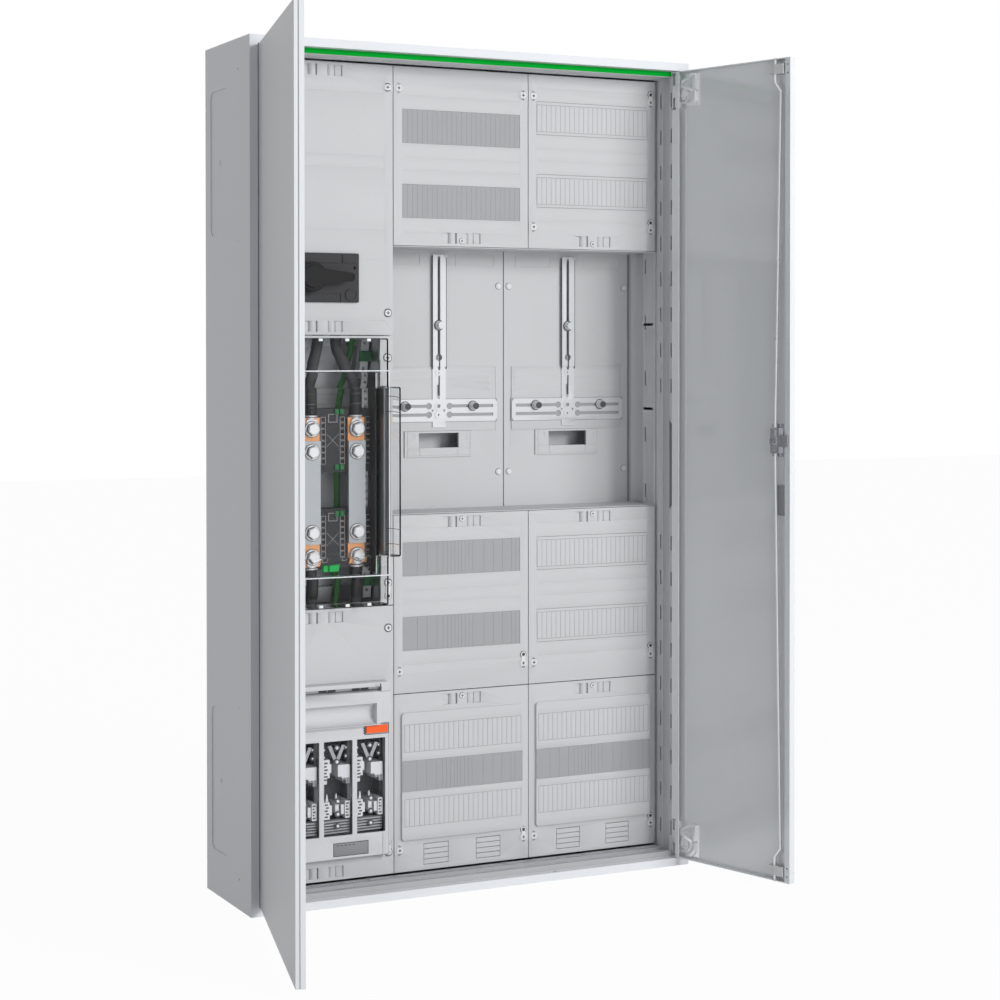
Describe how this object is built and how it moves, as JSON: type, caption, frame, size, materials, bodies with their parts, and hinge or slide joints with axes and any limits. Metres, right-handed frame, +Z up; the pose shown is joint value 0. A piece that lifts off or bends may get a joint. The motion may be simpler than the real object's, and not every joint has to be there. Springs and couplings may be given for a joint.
{
  "type": "meter and distribution cabinet",
  "caption": "Flat sheet-steel cabinet with two unequal hinged doors, touch-protection covers, meter plates, rotary main switch, link bars under a clear hood and a fuse switch.",
  "frame": {"origin": "centre of the cabinet's bottom face, halfway across its width and depth", "axes": "+X to the right as seen from the front, +Y from the doors to the wall, +Z up"},
  "size_m": [0.9472, 0.6903, 1.4],
  "materials": {
    "enclosure_paint": "fine-texture light grey powder coat",
    "galvanised_steel": "zinc-plated sheet",
    "seal_green": "ribbed extruded strip",
    "grey_plastic": "moulded light grey",
    "strip_plastic": "moulded mid grey",
    "black_plastic": "moulded black",
    "knob_plastic": "moulded black, semi-gloss",
    "clear_plastic": "clear moulded",
    "smoked_plastic": "smoked clear",
    "copper": "bare copper",
    "bright_zinc": "bright zinc",
    "contact_silver": "silvered contacts",
    "cable_black": "cable jacket",
    "cable_green": "cable jacket",
    "terminal_green": "moulded green",
    "tab_orange": "moulded orange"
  },
  "bodies": {
    "cabinet": {"left_side": "enclosure_paint", "right_side": "enclosure_paint", "top_panel": "enclosure_paint", "bottom_panel": "enclosure_paint", "back_panel": "enclosure_paint", "side_covers": "enclosure_paint", "entry_plates": "enclosure_paint", "left_profile": "enclosure_paint", "right_profile": "enclosure_paint", "top_profile": "enclosure_paint", "bottom_profile": "enclosure_paint", "top_seal": "seal_green", "field_rails": "galvanised_steel", "cover_posts": "galvanised_steel", "cross_members": "galvanised_steel", "bay_shelves": "grey_plastic", "hinge_brackets": "bright_zinc", "hinge_pins": "bright_zinc", "switch_cover": "grey_plastic", "switch_bezel": "black_plastic", "switch_body": "black_plastic", "link_cover": "grey_plastic", "clear_hood": "clear_plastic", "link_blocks": "black_plastic", "perforated_strips": "galvanised_steel", "copper_pads": "copper", "link_bars": "bright_zinc", "cable_lugs": "galvanised_steel", "hex_bolts": "bright_zinc", "phase_cables": "cable_black", "earth_cable": "cable_green", "earth_terminals": "terminal_green", "fuse_cover": "grey_plastic", "fuse_base": "black_plastic", "fuse_frame": "grey_plastic", "fuse_contacts": "contact_silver", "middle_covers": "grey_plastic", "right_covers": "grey_plastic", "blanking_strips": "strip_plastic", "din_rails": "galvanised_steel", "meter_plates": "grey_plastic", "meter_crosses": "galvanised_steel", "cover_fasteners": "bright_zinc"},
    "left_leaf": {"left_door": "enclosure_paint", "left_stiffeners": "enclosure_paint", "left_hinge_leaves": "bright_zinc"},
    "right_leaf": {"right_door": "enclosure_paint", "right_stiffeners": "enclosure_paint", "right_hinge_leaves": "bright_zinc", "lock_case": "bright_zinc", "rod_guides": "grey_plastic", "lock_recess_cover": "strip_plastic"},
    "cam": {"lock_cam": "bright_zinc"},
    "rod_up": {"upper_rod": "galvanised_steel"},
    "rod_down": {"lower_rod": "galvanised_steel"},
    "main_switch": {"switch_knob": "knob_plastic", "switch_shaft": "galvanised_steel"},
    "fuse_switch_lid": {"fuse_lid": "grey_plastic", "lid_panes": "smoked_plastic", "latch_tab": "tab_orange"}
  },
  "joints": [
    {"name": "left_door_hinge", "type": "hinge", "parent": "cabinet", "child": "left_leaf", "pos_m": [-0.379, -0.1075, 0.7], "axis": [0, 0, -1], "range_deg": [-103.3, 6.7]},
    {"name": "right_door_hinge", "type": "hinge", "parent": "cabinet", "child": "right_leaf", "pos_m": [0.379, -0.1075, 0.7], "axis": [0, 0, 1], "range_deg": [-104.5, 5.5]},
    {"name": "lock_turn", "type": "hinge", "parent": "right_leaf", "child": "cam", "pos_m": [0.43884, -0.33889, 0.75], "axis": [-0.9681, -0.2504, 0], "range_deg": [0, 90]},
    {"name": "upper_rod_slide", "type": "slide", "parent": "right_leaf", "child": "rod_up", "axis": [0, 0, 1], "range_m": [0, 0.009]},
    {"name": "lower_rod_slide", "type": "slide", "parent": "right_leaf", "child": "rod_down", "axis": [0, 0, -1], "range_m": [0, 0.009]},
    {"name": "main_switch_turn", "type": "hinge", "parent": "cabinet", "child": "main_switch", "pos_m": [-0.276, -0.0525, 1.02], "axis": [0, -1, 0], "range_deg": [0, 90]},
    {"name": "fuse_lid_hinge", "type": "hinge", "parent": "cabinet", "child": "fuse_switch_lid", "pos_m": [-0.236, -0.0505, 0.071], "axis": [1, 0, 0], "range_deg": [0, 50]}
  ],
  "couplings": [
    {"joint": "upper_rod_slide", "follows": "lock_turn", "m_per_rad": 0.0057296},
    {"joint": "lower_rod_slide", "follows": "lock_turn", "m_per_rad": 0.0057296}
  ]
}
